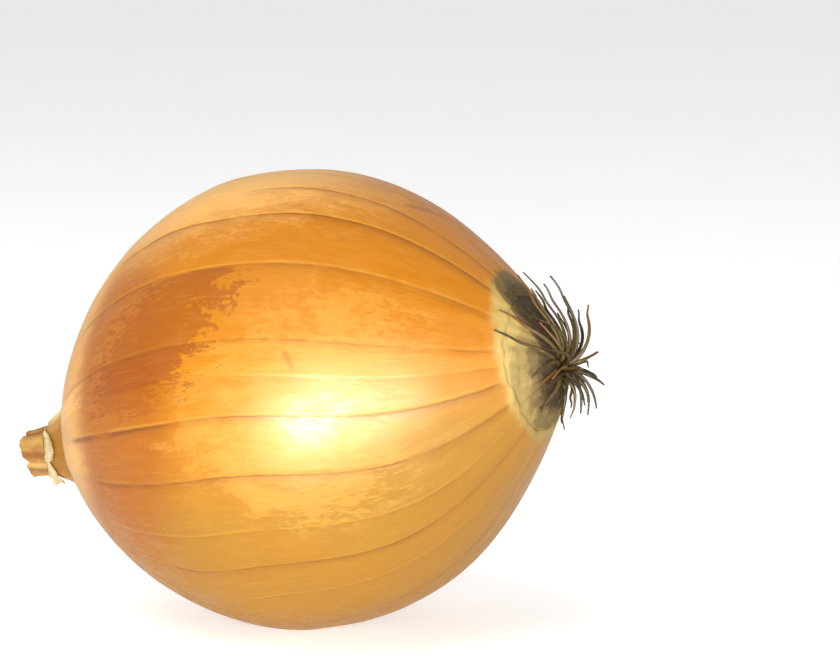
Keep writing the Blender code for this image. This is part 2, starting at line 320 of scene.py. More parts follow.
# ---------------------------------------------------------------- materials
class Graph:
    """A short way to write shader nodes. A value is a number, a colour or an output socket."""

    def __init__(self, name):
        self.material = bpy.data.materials.new(name)
        self.material.use_nodes = True
        self.tree = self.material.node_tree
        self.shader = self.tree.nodes["Principled BSDF"]

    def node(self, kind, **settings):
        made = self.tree.nodes.new(kind)
        for key, value in settings.items():
            setattr(made, key, value)
        return made

    def put(self, socket, value):
        if isinstance(value, bpy.types.NodeSocket):
            self.tree.links.new(value, socket)
        elif isinstance(value, tuple) and len(value) == 3 and socket.type == "RGBA":
            socket.default_value = (*value, 1.0)
        else:
            socket.default_value = value

    def math(self, operation, a, b=0.0):
        made = self.node("ShaderNodeMath", operation=operation)
        for socket, value in zip(made.inputs, (a, b)):
            self.put(socket, value)
        return made.outputs[0]

    def add(self, a, b):
        return self.math("ADD", a, b)

    def mul(self, a, b):
        return self.math("MULTIPLY", a, b)

    def ramp(self, value, low, high, to_low=0.0, to_high=1.0):
        """A smooth change from to_low to to_high as value goes from low to high."""
        made = self.node("ShaderNodeMapRange", interpolation_type="SMOOTHSTEP")
        for socket, number in zip(made.inputs, (value, low, high, to_low, to_high)):
            self.put(socket, number)
        return made.outputs[0]

    def patchy(self, value, noise, share, low, high, most=1.0):
        """A ramp of value up to most, with its edge broken up by this share of a noise."""
        broken = self.add(value, self.mul(self.add(noise, -0.5), share))
        return self.ramp(broken, low, high, 0.0, most)

    def mix(self, share, a, b):
        made = self.node("ShaderNodeMix", data_type="RGBA", clamp_factor=True)
        self.put(made.inputs["Factor"], share)
        self.put(made.inputs[6], a)
        self.put(made.inputs[7], b)
        return made.outputs[2]

    def bell(self, value, middle, width):
        """1 where value is middle, and near 0 further from it than width."""
        away = self.math("DIVIDE", self.math("SUBTRACT", value, middle), width)
        return self.math("EXPONENT", self.mul(self.mul(away, away), -1.0))

    def value(self, name):
        return self.node("ShaderNodeAttribute", attribute_name=name).outputs["Fac"]

    def vector(self, x, y, z=0.0):
        made = self.node("ShaderNodeCombineXYZ")
        for socket, value in zip(made.inputs, (x, y, z)):
            self.put(socket, value)
        return made.outputs[0]

    def place(self):
        """The row's own coordinates, in millimetres."""
        found = self.node("ShaderNodeTexCoord").outputs["Object"]
        made = self.node("ShaderNodeVectorMath", operation="MULTIPLY")
        self.put(made.inputs[0], found)
        made.inputs[1].default_value = (1 / MM, 1 / MM, 1 / MM)
        return made.outputs[0]

    def noise(self, vector, scale, detail=4.0, roughness=0.55, distortion=0.0):
        made = self.node("ShaderNodeTexNoise")
        self.put(made.inputs["Vector"], vector)
        for key, value in (("Scale", scale), ("Detail", detail), ("Roughness", roughness)):
            self.put(made.inputs[key], value)
        self.put(made.inputs["Distortion"], distortion)
        return made.outputs["Fac"]

    def bump(self, height, distance, strength, under=None):
        """A normal from a height of 0 to 1 that stands for this many metres."""
        made = self.node("ShaderNodeBump")
        made.inputs["Strength"].default_value = strength
        made.inputs["Distance"].default_value = distance
        self.put(made.inputs["Height"], height)
        if under is not None:
            self.put(made.inputs["Normal"], under)
        return made.outputs[0]

    def finish(self, colour, roughness, normal=None, **fixed):
        self.put(self.shader.inputs["Base Color"], colour)
        self.put(self.shader.inputs["Roughness"], roughness)
        if normal is not None:
            self.put(self.shader.inputs["Normal"], normal)
        for key, value in fixed.items():
            self.put(self.shader.inputs[key.replace("_", " ")], value)
        return self.material


def colour(red, green, blue, share):
    """A colour given as it shows on a screen, 0 to 255, made linear and dimmed to this share."""
    shown = [value / 255 for value in (red, green, blue)]
    linear = [((c + 0.055) / 1.055) ** 2.4 if c > 0.04 else c / 12.92 for c in shown]
    return tuple(share * c for c in linear)


# The pigments are darker than the onion looks, because its gloss and the studio add light to them.
OCHRE = colour(212, 150, 44, 0.43)
ORANGE = colour(228, 140, 12, 0.54)
BURNT = colour(204, 108, 0, 0.48)
DEEP_ORANGE = colour(190, 90, 0, 0.44)
HONEY = colour(240, 182, 64, 0.6)
RIM_LIGHT_TAN = colour(236, 180, 100, 0.86)
CREAM = colour(240, 206, 120, 0.45)
NECK_HIGHLIGHT = colour(238, 206, 136, 0.90)
KHAKI = colour(192, 160, 84, 0.46)
OLIVE = colour(140, 112, 52, 0.42)
DARK_EARTH = colour(54, 36, 6, 0.44)
OLIVE_BROWN = colour(98, 72, 22, 0.46)
# a brown for the vein lines, specks and nicks, and for the painted shade at the veins
VEIN_BROWN_AND_SHADE = colour(150, 74, 6, 0.5)
NECK_BROWN = colour(172, 104, 18, 0.58)
NECK_GOLD = colour(202, 144, 44, 0.60)
STUB_GOLD = colour(202, 148, 60, 0.56)
STUB_TAN = colour(182, 124, 44, 0.56)
STUB_CREASE_SHADE = colour(156, 84, 16, 0.6)
STUB_RIDGE_HIGHLIGHT = colour(220, 178, 96, 0.66)
STUB_FIBRE = colour(160, 98, 32, 0.62)
STUB_INSIDE = colour(112, 64, 22, 0.6)
CURL_CREAM = colour(230, 206, 150, 0.68)
CURL_TAN = colour(210, 180, 116, 0.66)
CURL_EDGE = colour(170, 144, 76, 0.58)
ROOT_DARK = colour(60, 42, 12, 0.46)
ROOT_PALE = colour(138, 112, 54, 0.46)
ROOT_FLECK = colour(160, 130, 76, 0.55)
TIP_BROWN = colour(80, 60, 24, 0.50)
TIP_ORANGE = colour(164, 88, 18, 0.46)


def root_end_noises(g):
    """The coarse and the fine noise that the skin and the plate share, so that their zones run on."""
    spot = g.place()
    return g.noise(spot, 0.36, 6.0, 0.6, 0.4), g.noise(spot, 1.9, 5.0, 0.6)


def root_end_tone(g, tone, blotch, fine):
    """Lays the cream, khaki and earthy zones of the root end over tone."""
    ring = g.patchy(g.value("ring"), blotch, 1.0, 0.18, 0.82)
    tone = g.mix(ring, tone, g.mix(g.ramp(fine, 0.42, 0.7, 0.0, 0.45), CREAM, HONEY))
    khaki = g.patchy(g.value("khaki"), blotch, 1.3, 0.32, 0.72, 0.85)
    tone = g.mix(khaki, tone, KHAKI)
    olive = g.patchy(g.value("olive"), blotch, 1.5, 0.38, 0.68, 0.8)
    tone = g.mix(olive, tone, OLIVE)
    half = g.patchy(g.value("earth"), blotch, 0.9, 0.22, 0.52, 0.85)
    tone = g.mix(half, tone, g.mix(g.ramp(fine, 0.35, 0.65), OLIVE_BROWN, OLIVE))
    dark = g.patchy(g.value("earth"), blotch, 0.8, 0.50, 0.95)
    return g.mix(dark, tone, g.mix(g.ramp(fine, 0.3, 0.7), DARK_EARTH, OLIVE_BROWN))


def skin_material():
    g = Graph("golden_skin_detail")
    uv = g.node("ShaderNodeUVMap", uv_map="skin")
    split = g.node("ShaderNodeSeparateXYZ")
    g.put(split.inputs[0], uv.outputs[0])
    round_place = g.mul(split.outputs[0], float(VEIN_COUNT))  # counted in veins
    along = g.mul(split.outputs[1], 100.0)  # the station in millimetres
    panel = g.math("FLOOR", round_place)
    nearest = g.math("ROUND", round_place)
    from_vein = g.mul(g.math("SUBTRACT", round_place, nearest), g.value("panel_mm"))
    across = g.math("FRACT", round_place)
    spot = g.place()

    # broad tones, which meet in ragged flakes
    flake_place = g.vector(g.mul(round_place, 3.4), g.mul(along, 0.17), 3.0)
    flakes = g.noise(flake_place, 1.0, 10.0, 0.66, 0.4)
    streak_place = g.vector(g.mul(round_place, 17.0), g.mul(along, 0.75), 7.0)
    streaks = g.noise(streak_place, 1.0, 5.0, 0.6, 0.3)
    ragged = g.add(g.add(flakes, g.mul(streaks, 0.70)), -0.35)
    cloud = g.noise(spot, 0.045, 2.0)
    tone = g.mix(g.patchy(g.value("warm"), cloud, 0.8, 0.0, 1.0), OCHRE, ORANGE)
    burnt = g.add(g.value("burnt"), g.mul(g.add(cloud, -0.5), 0.5))
    tone = g.mix(g.patchy(burnt, ragged, 0.5, 0.25, 0.85, 0.8), tone, BURNT)
    # paler honey gold; the patch in front round the middle of the taper lies where the glow falls and
    # is partly painted highlight
    tone = g.mix(g.patchy(g.value("honey_and_highlight"), ragged, 1.1, 0.40, 0.52, 0.25), tone, HONEY)
    tone = g.mix(g.patchy(g.value("honey_and_highlight"), ragged, 1.3, 0.72, 0.80, 0.22), tone, HONEY)
    tone = g.mix(g.patchy(g.value("deep"), ragged, 2.1, 0.46, 0.54, 0.85), tone, DEEP_ORANGE)
    # painted rim light: a paler pinkish tan on the top and on the shoulder towards the neck
    tone = g.mix(g.patchy(g.value("pale"), ragged, 0.7, 0.25, 0.85, 0.85), tone, RIM_LIGHT_TAN)

    # each panel between two veins has its own tone, and next to the vein above it a painted shade
    # under that vein's step
    dice = g.node("ShaderNodeTexWhiteNoise", noise_dimensions="1D")
    g.put(dice.inputs["W"], g.add(panel, 0.5))
    own = g.ramp(dice.outputs["Value"], 0.0, 1.0, 0.0, 0.24)
    tone = g.mix(own, tone, g.mix(0.5, BURNT, ORANGE))
    under_vein = g.mul(g.bell(across, 0.02, 0.16), g.value("vein_dark"))
    tone = g.mix(g.mul(under_vein, 0.22), tone, VEIN_BROWN_AND_SHADE)

    # fine fibres that run from neck to roots
    fibre_place = g.vector(g.mul(round_place, 22.0), g.mul(along, 0.14))
    fibres = g.noise(fibre_place, 1.0, 5.0, 0.6, 0.2)
    tone = g.mix(g.ramp(fibres, 0.50, 0.85, 0.0, 0.26), tone, DEEP_ORANGE)
    tone = g.mix(g.ramp(fibres, 0.50, 0.20, 0.0, 0.26), tone, HONEY)

    # the veins: a thin darker line with painted shade in its crease and below it, and a painted
    # highlight on the lip above it
    wander = g.noise(g.vector(g.mul(nearest, 7.3), g.mul(along, 0.10), 5.0), 1.0, 3.0)
    shake = g.noise(g.vector(g.mul(nearest, 3.1), g.mul(along, 0.5), 9.0), 1.0, 3.0)
    from_vein = g.add(from_vein, g.mul(g.add(shake, -0.5), 0.35))
    uneven = g.ramp(wander, 0.34, 0.58, 0.25, 1.0)
    dark = g.mul(g.value("vein_dark"), uneven)
    light = g.mul(g.value("vein_light"), uneven)
    wide = g.value("vein_wide")
    vein_line_and_shade = g.mul(g.bell(from_vein, wide, wide), dark)
    shade = g.mul(g.bell(from_vein, 0.42, 0.55), dark)
    lip = g.mul(g.bell(from_vein, -0.22, 0.24), light)
    # painted shade below the vein and in its crease, and a painted highlight on its lip
    tone = g.mix(g.mul(shade, 0.28), tone, VEIN_BROWN_AND_SHADE)
    tone = g.mix(g.mul(vein_line_and_shade, 0.85), tone, VEIN_BROWN_AND_SHADE)
    tone = g.mix(g.mul(lip, 0.36), tone, HONEY)

    # specks, and the marks where the skin was nicked
    specks = g.ramp(g.noise(spot, 1.3, 2.0, 0.5), 0.71, 0.76, 0.0, 0.30)
    tone = g.mix(specks, tone, VEIN_BROWN_AND_SHADE)
    pale_specks = g.ramp(g.noise(spot, 0.9, 3.0, 0.5), 0.27, 0.23, 0.0, 0.35)
    tone = g.mix(pale_specks, tone, HONEY)
    tone = g.mix(g.patchy(g.value("nick"), ragged, 0.6, 0.40, 0.75, 0.42), tone, VEIN_BROWN_AND_SHADE)

    # the neck, with a painted highlight along the sleeve's upper edge, and the root end
    neck_tone = g.mix(g.ramp(fibres, 0.3, 0.7, 0.1, 0.7), NECK_BROWN, NECK_GOLD)
    tone = g.mix(g.value("neck"), tone, g.mix(g.value("painted_neck_highlight"), neck_tone, NECK_HIGHLIGHT))
    tone = root_end_tone(g, tone, *root_end_noises(g))

    rough = g.add(g.ramp(ragged, 0.44, 0.55, 0.44, 0.58), g.mul(g.value("neck"), 0.2))
    rough = g.add(rough, g.mul(g.value("ring"), 0.25))
    normal = g.bump(fibres, 0.03 * MM, 0.4)
    normal = g.bump(flakes, 0.05 * MM, 0.35, normal)
    return g.finish(
        tone,
        rough,
        normal,
        Specular_IOR_Level=0.28,
        Specular_Tint=(1.0, 0.85, 0.46, 1.0),
        Coat_Weight=0.08,
        Coat_Roughness=0.32,
    )


def neck_material():
    g = Graph("dried_neck_detail")
    fibre_place = g.vector(g.mul(g.value("round"), 16.0), g.mul(g.value("along"), 0.5))
    fibre = g.noise(fibre_place, 1.0, 5.0, 0.6)
    blotch = g.noise(g.place(), 0.5, 4.0)
    tone = g.mix(g.ramp(blotch, 0.35, 0.65), STUB_GOLD, STUB_TAN)
    # painted shade in the creases and a painted highlight on the ridges, by how deep each is
    tone = g.mix(g.ramp(g.value("hollow"), 0.1, 0.9, 0.0, 0.85), tone, STUB_CREASE_SHADE)
    tone = g.mix(g.ramp(g.value("hollow"), -0.1, -0.7, 0.0, 0.75), tone, STUB_RIDGE_HIGHLIGHT)
    tone = g.mix(g.ramp(fibre, 0.5, 0.8, 0.0, 0.35), tone, STUB_FIBRE)
    tone = g.mix(g.value("inside"), tone, STUB_INSIDE)
    normal = g.bump(fibre, 0.08 * MM, 0.6)
    return g.finish(tone, g.ramp(fibre, 0.3, 0.7, 0.5, 0.65), normal, Specular_IOR_Level=0.3)


def curl_material():
    g = Graph("torn_skin_detail")
    fibre_place = g.vector(g.mul(g.value("round"), 14.0), g.mul(g.value("along"), 2.0))
    fibre = g.noise(fibre_place, 1.0, 4.0)
    blotch = g.noise(g.place(), 0.8, 3.0)
    tone = g.mix(g.ramp(fibre, 0.4, 0.7), CURL_CREAM, CURL_TAN)
    tone = g.mix(g.patchy(g.value("edge"), blotch, 0.8, 0.2, 1.0, 0.75), tone, CURL_EDGE)
    normal = g.bump(fibre, 0.04 * MM, 0.5)
    return g.finish(tone, g.ramp(fibre, 0.3, 0.7, 0.38, 0.5), normal)


def plate_material():
    g = Graph("root_plate_detail")
    blotch, fine = root_end_noises(g)
    tone = root_end_tone(g, CREAM, blotch, fine)
    normal = g.bump(fine, 0.12 * MM, 0.6)
    normal = g.bump(blotch, 0.3 * MM, 0.6, normal)
    return g.finish(tone, g.ramp(fine, 0.3, 0.7, 0.6, 0.85), normal, Specular_IOR_Level=0.15)


def strand_material():
    g = Graph("dry_root_detail")
    along, own = g.value("along"), g.value("own")
    bark = g.noise(g.place(), 1.6, 5.0, 0.6)
    grey = g.mix(own, ROOT_DARK, ROOT_PALE)
    tip = g.mix(g.ramp(own, 0.70, 0.80), TIP_BROWN, TIP_ORANGE)
    tone = g.mix(g.ramp(along, 0.45, 1.0), grey, tip)
    tone = g.mix(g.ramp(bark, 0.52, 0.72, 0.0, 0.5), tone, ROOT_FLECK)
    tone = g.mix(g.ramp(along, 0.2, 0.0, 0.0, 0.8), tone, DARK_EARTH)
    normal = g.bump(g.noise(g.place(), 2.5, 2.0), 0.03 * MM, 0.5)
    return g.finish(tone, g.ramp(bark, 0.3, 0.7, 0.45, 0.65), normal, Specular_IOR_Level=0.12)


# ---------------------------------------------------------------- the bulb
NECK_ROWS = 118
TAPER_ROWS = 116
SKIN_LIP = 0.308 * MM  # how far in the torn edge at the roots turns
SKIN_TUCK = 1.8 * MM  # how deep the skin's torn edge goes under the plate
SKIN_INNER_RADIUS = 9.0 * MM  # and how far in
SOCKET_DEPTH = 3.0 * MM  # how deep the sleeve is open round the stub


def round_places():
    return np.array([panel + share for panel in range(VEIN_COUNT) for share in PANEL_COLUMNS])


def outline_rows():
    """The stations of the rows down the outside, from the root end to the sleeve's end."""
    taper = RIM_STATION * (1 - np.arange(TAPER_ROWS) / TAPER_ROWS)
    shoulder = SLEEVE_END * (np.arange(NECK_ROWS + 1) / NECK_ROWS) ** 0.8
    return np.concatenate([taper, shoulder])


def torn_edge(azimuth):
    """How far past its even end the skin reaches at the roots, in metres."""
    wave = 0.5 * np.sin(5 * azimuth + 0.7) + 0.3 * np.sin(11 * azimuth + 2.0)
    return 0.35 * MM * (wave + 0.25 * np.sin(23 * azimuth))


def sleeve_edge(azimuth):
    """How far past its even end the torn sleeve reaches at the neck, in metres."""
    wave = 0.6 * np.sin(3 * azimuth + 1.1) + 0.4 * np.sin(8 * azimuth)
    return 0.30 * MM * (wave + 0.3 * np.sin(17 * azimuth + 0.4))


def neck_gathers(station, azimuth):
    """How far the gathered skin stands off at the neck, in metres."""
    mm = station / MM
    folds = 0.5 * np.cos(9 * azimuth + 0.6) + 0.35 * np.cos(14 * azimuth + 1.9 + mm * 0.05)
    folds = folds + 0.35 * np.cos(23 * azimuth + 0.3)
    return 0.26 * MM * ease(-30, -45.8, mm) * folds


def skin_relief(places, station, azimuth):
    """How far the skin stands off the plain bulb: steps at the veins, folds at the neck and roots."""
    share = places - np.floor(places)
    upper = np.floor(places).astype(int) % VEIN_COUNT
    lower = (upper + 1) % VEIN_COUNT
    strength = np.array([0.5 * vein[1] + 0.5 * vein[2] for vein in VEINS])
    mm = station / MM
    fade = ease(-40, -22, mm) * (1 - 0.5 * ease(30, 44, mm))
    crest = (share / CREST_SHARE) ** 5 * strength[lower]
    foot = (1 - np.clip(share / 0.4, 0, 1)) ** 3 * strength[upper]
    relief = VEIN_STEP * fade * (crest - 0.45 * foot)
    pleats = 0.5 * np.cos(17 * azimuth + 0.4) + 0.4 * np.cos(29 * azimuth + 1.0)
    relief = relief + neck_gathers(station, azimuth)
    return relief + 0.10 * MM * ease(30, 42, mm) * pleats


def root_zones(station, radius, azimuth):
    """Where the root end is pale, khaki, olive and earthy, 0 to 1 for every point."""
    mm = station / MM
    across = radius * np.cos(azimuth) / MM - TUFT_DROP / MM
    beside = radius * np.sin(azimuth) / MM
    out = np.hypot(across, beside)
    way = np.arctan2(beside, across)
    ring_from = 43.7 + 0.6 * np.cos(azimuth - math.radians(330))
    ring_from = ring_from - 1.4 * bump_at(apart(azimuth, math.radians(185)), 0, 0.5)
    on_top = np.exp(-(np.abs(apart(way, math.radians(180))) / math.radians(31)) ** 3)
    at_back = bump_at(apart(way, math.radians(120)), 0, math.radians(50))
    under = bump_at(apart(way, math.radians(350)), 0, math.radians(45))
    at_end = ease(36.0, 39.5, mm)
    # the dark zone round the tuft reaches much further towards the top than to the sides and below
    dark_to = 6.0 + 10.2 * on_top + 1.5 * at_back + 0.6 * under
    return {
        "ring": ease(-1.9, 1.2, mm - ring_from),
        "khaki": (ease(12.5, 8.6, out) * 0.9 + 0.35 * under * ease(14, 9, out)) * at_end,
        "olive": (0.75 * ease(10.5, 6.0, out) + 0.5 * under * ease(12.5, 8.0, out)) * at_end,
        "earth": ease(1.25, 0.75, out / dark_to) * ease(39.8, 41.6, mm),
    }


# Patches of each tone of the skin: (strength, station, azimuth, how long, how wide, slant), in
# millimetres and degrees. The slant is how many degrees of azimuth it gains for each millimetre
# towards the neck.
TONE_PATCHES = {
    "warm": ((0.55, 40, 250, 7, 14, 0), (0.3, 40, 90, 9, 30, 0)),
    "burnt": ((1.25, -18, 256, 17, 42, 0), (0.9, -18, 100, 20, 60, 0)),
    "deep_front": ((1.2, -5, 246, 17.5, 21, 1.05),),
    "deep_back": ((0.9, -8, 40, 15, 22, -0.8), (0.85, 4, 128, 13, 16, 1.0)),
    "honey_and_highlight": (
        # the first lies where the glow falls, and is partly painted highlight
        (0.85, 16, 268, 22, 26, 0),
        (0.35, 28, 238, 12, 14, 0),
        (0.3, 24, 300, 16, 16, 0),
        (0.7, 2, 90, 22, 30, 0),
        (0.2, 0, 180, 40, 24, 0),
    ),
    # painted rim light on the top and low at the front, where the limbs are seen
    "pale": ((1.05, -8, 188, 36, 33, 0), (0.2, 24, 335, 26, 20, 0)),
    # painted highlight along the upper edge of the sleeve
    "painted_neck_highlight": ((0.95, -41.8, 202, 4.0, 26, 0), (0.25, -42, 330, 3.0, 20, 0)),
    "nick": (
        (0.95, 18.6, 255.2, 1.1, 2.7, -2.2),
        (0.62, 20.4, 261, 0.22, 4, 0),
        (1.0, 30, 180, 2.2, 3.5, 3.0),
    ),
}
DEEP_TOP_VEIN = 3  # the front vein that the deep patch starts under
DEEP_LOW = (271, 259)  # the azimuths in degrees over which it fades out below
# the neck end's pale turn is painted rim light on the shoulder
PALE_RIM = (1.15, -15, -32)  # strength, and the stations over which the neck end turns pale
PALE_RIM_AZIMUTH = math.radians(232)
PALE_RIM_WIDTH = math.radians(70)


def skin_zones(places, station, azimuth):
    """Where each tone of the skin lies, 0 to 1 for every point."""
    mm = station / MM
    degrees = np.degrees(azimuth) % 360
    top = 0.5 - 0.5 * np.cos(azimuth)  # 1 on top, 0 underneath

    def patches(tone):
        total = 0.0
        for strength, mid_mm, mid_degrees, long_mm, wide_degrees, slant in TONE_PATCHES[tone]:
            off = (degrees - mid_degrees + 180) % 360 - 180 + slant * (mm - mid_mm)
            total += strength * np.exp(-(((mm - mid_mm) / long_mm) ** 2) - (off / wide_degrees) ** 2)
        return total

    under_vein = ease(-0.02, 0.03, places - (VEIN_COUNT - len(FRONT_VEINS) + DEEP_TOP_VEIN))
    deep_front = patches("deep_front") * under_vein * ease(*DEEP_LOW, degrees)
    strength, rim_from, rim_to = PALE_RIM
    in_front = bump_at(apart(azimuth, PALE_RIM_AZIMUTH), 0, PALE_RIM_WIDTH)
    return {
        "warm": ease(0.05, 0.85, top) + patches("warm"),
        "burnt": patches("burnt") + 0.3 * ease(10, -30, mm),
        "deep": np.maximum(deep_front, patches("deep_back")) - 0.12,
        "honey_and_highlight": patches("honey_and_highlight"),
        "pale": patches("pale") + strength * ease(rim_from, rim_to, mm) * in_front,
        "neck": ease(-37.0, -40.5, mm),
        "painted_neck_highlight": patches("painted_neck_highlight"),
        "nick": patches("nick"),
    }


def make_bulb(material):
    """The skin: down from under the plate, over the torn edge, along the bulb and into the neck."""
    places = round_places()
    columns = len(places)
    stations = outline_rows()
    grid_place = np.broadcast_to(places, (len(stations), columns))
    grid_station = np.broadcast_to(stations[:, None], grid_place.shape).copy()
    azimuth = azimuth_of(grid_place, grid_station)
    near_roots = ease(RIM_STATION - 5 * MM, RIM_STATION, grid_station)
    near_neck = ease(SLEEVE_END + 4 * MM, SLEEVE_END, grid_station)
    grid_station = grid_station + near_roots * torn_edge(azimuth) - near_neck * sleeve_edge(azimuth)
    radius = bulb_radius(grid_station) + lobe(grid_station, azimuth)
    radius = radius + skin_relief(grid_place, grid_station, azimuth)
    points = place(grid_station, radius, azimuth).reshape(*grid_place.shape, 3)
    dents = 0.22 * noise_field(points, 13 * MM, 1.0) + 0.05 * noise_field(points, 5 * MM, 2.0)
    radius = radius + dents * MM * ease(-44, -34, grid_station / MM)

    # two more rows under the plate, and two in the sleeve's open end
    even = np.ones(columns)
    socket = sleeve_end_radius() - SLEEVE_WALL
    under, lip = grid_station[0] - SKIN_TUCK, grid_station[0] - 0.1 * MM
    inner_edge, bottom = grid_station[-1] + 0.05 * MM, even * (SLEEVE_END + SOCKET_DEPTH)
    all_station = np.vstack([under, lip, grid_station, inner_edge, bottom])
    under, lip = even * SKIN_INNER_RADIUS, radius[0] - SKIN_LIP
    inner_edge, bottom = even * (socket + 0.25 * MM), even * socket
    all_radius = np.vstack([under, lip, radius, inner_edge, bottom])
    all_azimuth = np.pad(azimuth, ((2, 2), (0, 0)), mode="edge")
    all_place = np.pad(grid_place, ((2, 2), (0, 0)), mode="edge")
    points = place(all_station, all_radius, all_azimuth)
    points[:, 2] = np.maximum(points[:, 2], 0.02 * MM)
    ends = np.array([RIM_STATION - SKIN_TUCK - 0.1 * MM, SLEEVE_END + SOCKET_DEPTH])
    bulb = build_turned("golden_skin", points, columns, place(ends, 0.0, 0.0), material)
    mesh = bulb.data

    def with_ends(values):
        return np.append(values.ravel(), [0.0, 0.0])

    clear_station = all_station.copy()
    clear_station[:2] = grid_station[:1]
    zones = skin_zones(all_place, clear_station, all_azimuth)
    zones.update(root_zones(clear_station, all_radius, all_azimuth))
    for name, values in zones.items():
        add_values(mesh, name, with_ends(values))
    dark, light = vein_facts(all_place, clear_station)
    add_values(mesh, "vein_dark", with_ends(dark))
    add_values(mesh, "vein_light", with_ends(light))
    add_values(mesh, "vein_wide", with_ends(0.15 + 0.30 * ease(2, -24, clear_station / MM) * dark))
    widths = np.diff(PANEL_EDGES)[np.floor(all_place).astype(int) % VEIN_COUNT]
    add_values(mesh, "panel_mm", with_ends(widths * all_radius / MM))
    add_skin_map(mesh, all_place, all_station)
    return bulb


def add_skin_map(mesh, all_place, all_station):
    """The map that the skin's material reads: the place round it in u, and the station in v. A face
    that spans the seam has 1 at its far side, not 0."""
    layer = mesh.uv_layers.new(name="skin")
    corners = np.empty(len(mesh.loops), np.int64)
    starts, sizes = (np.empty(len(mesh.polygons), np.int64) for _ in range(2))
    mesh.loops.foreach_get("vertex_index", corners)
    mesh.polygons.foreach_get("loop_start", starts)
    mesh.polygons.foreach_get("loop_total", sizes)
    across = np.append(all_place.ravel(), [0.0, 0.0]) / VEIN_COUNT
    along = np.append(all_station.ravel(), [RIM_STATION, SLEEVE_END]) / (100 * MM)
    u, v = across[corners], along[corners]
    highest = np.repeat(np.maximum.reduceat(u, starts), sizes)
    past_seam = (highest - u > 0.5) & (corners < all_place.size)
    both = np.stack([np.where(past_seam, 1.0, u), v], 1)
    layer.uv.foreach_set("vector", both.astype(np.float32).ravel())


# ---------------------------------------------------------------- the neck
STUB_COLUMNS = 132
STUB_ROWS = 40
STUB_WALL = 0.45 * MM
STUB_START_SHARE = 0.25  # how deep its creases are where it leaves the sleeve
STUB_CREASES = (  # (azimuth and half-width in degrees, depth in millimetres); below 0 is a ridge
    (192, 14, -0.12),
    (216, 7, 0.50),
    (245, 17, -0.22),
    (281, 13, 0.42),
    (306, 12, -0.34),
    (333, 10, 0.30),
    (4, 14, -0.25),
    (40, 12, 0.45),
    (76, 15, -0.30),
    (112, 11, 0.50),
    (146, 14, -0.28),
    (176, 10, 0.45),
)
DEEPEST_CREASE = 0.5
STUB_NOTCHES = (  # the same, for how far the ragged end falls short
    (298, 8, 1.15),
    (318, 20, 0.55),
    (200, 26, 0.15),
    (30, 12, 0.9),
    (120, 16, 1.1),
)
# The rows that close its end: (millimetres back from the rim, the share of the rim's reach that they
# follow, how many walls in from the outside, how dark).
STUB_MOUTH = (
    (-0.05, 0.0, 0.6, 0.35),
    (0.5, 0.0, 1.3, 0.9),
    (1.9, -0.6, 2.0, 1.0),
    (0.9, 0.5, 2.6, 0.5),
    (0.95, 0.5, 3.3, 0.6),
    (2.4, 0.5, 3.9, 1.0),
)
STUB_TWIST = 0.05  # radians a millimetre


def dips_at(azimuth, dips):
    """How deep these dips are here together, in millimetres."""
    total = np.zeros_like(azimuth)
    for middle, half_width, depth in dips:
        total += depth * bump_at(apart(azimuth, math.radians(middle)), 0, math.radians(half_width))
    return total


def stub_reach(azimuth):
    """How far the stub's ragged end goes past or short of its even length, in metres."""
    wave = 0.10 * np.sin(9 * azimuth) + 0.06 * np.sin(21 * azimuth + 1) + 0.03 * np.sin(37 * azimuth)
    return (wave - dips_at(azimuth, STUB_NOTCHES)) * MM


def make_neck_stub(material):
    azimuths = np.arange(STUB_COLUMNS) / STUB_COLUMNS * TURN
    hollow = dips_at(azimuths, STUB_CREASES)
    reach = stub_reach(azimuths)
    start = SLEEVE_END + 3.5 * MM
    length = STUB_LENGTH + 0.35 * MM
    top = sleeve_end_radius() - 0.25 * MM
    rows = []
    for i in range(STUB_ROWS + 1):
        station = start + (SLEEVE_END - length - reach - start) * i / STUB_ROWS
        past = np.clip((SLEEVE_END - station) / length, 0, 1.3)
        inside = ease(SLEEVE_END + 0.6 * MM, SLEEVE_END - 0.9 * MM, station)
        body = STUB_RADIUS + (top - STUB_RADIUS) * inside - (top - STUB_END_RADIUS) * past**0.8
        flare = 0.18 * MM * ease(0.75, 1.1, past)
        shown = STUB_START_SHARE + (1 - STUB_START_SHARE) * ease(0.0, 0.6, past)
        rows.append((station, body + flare - hollow * MM * shown * inside, np.zeros_like(azimuths)))
    rim_station, rim_radius, _ = rows[-1]
    for back, share, walls, dark in STUB_MOUTH:
        station = rim_station + back * MM + share * reach
        rows.append((station, rim_radius - walls * STUB_WALL, np.full_like(azimuths, dark)))
    stations, radii, insides = (np.array([row[i] for row in rows]) for i in range(3))
    grid_azimuth = np.broadcast_to(azimuths, stations.shape)
    twist = STUB_TWIST * (stations - SLEEVE_END) / MM
    points = place(stations, np.maximum(radii, 0.3 * MM), grid_azimuth + twist)
    ends = place(np.array([start, float(stations[-1].mean())]), 0.0, 0.0)
    stub = build_turned("dried_neck", points, STUB_COLUMNS, ends, material)
    values = {
        "hollow": np.broadcast_to(hollow / DEEPEST_CREASE, stations.shape),
        "round": np.minimum(grid_azimuth, TURN - grid_azimuth),
        "along": stations / MM,
    }
    for name, numbers in values.items():
        add_values(stub.data, name, np.append(numbers.ravel(), [0.0, 0.0]))
    add_values(stub.data, "inside", np.append(insides.ravel(), [0.0, 1.0]))
    return stub


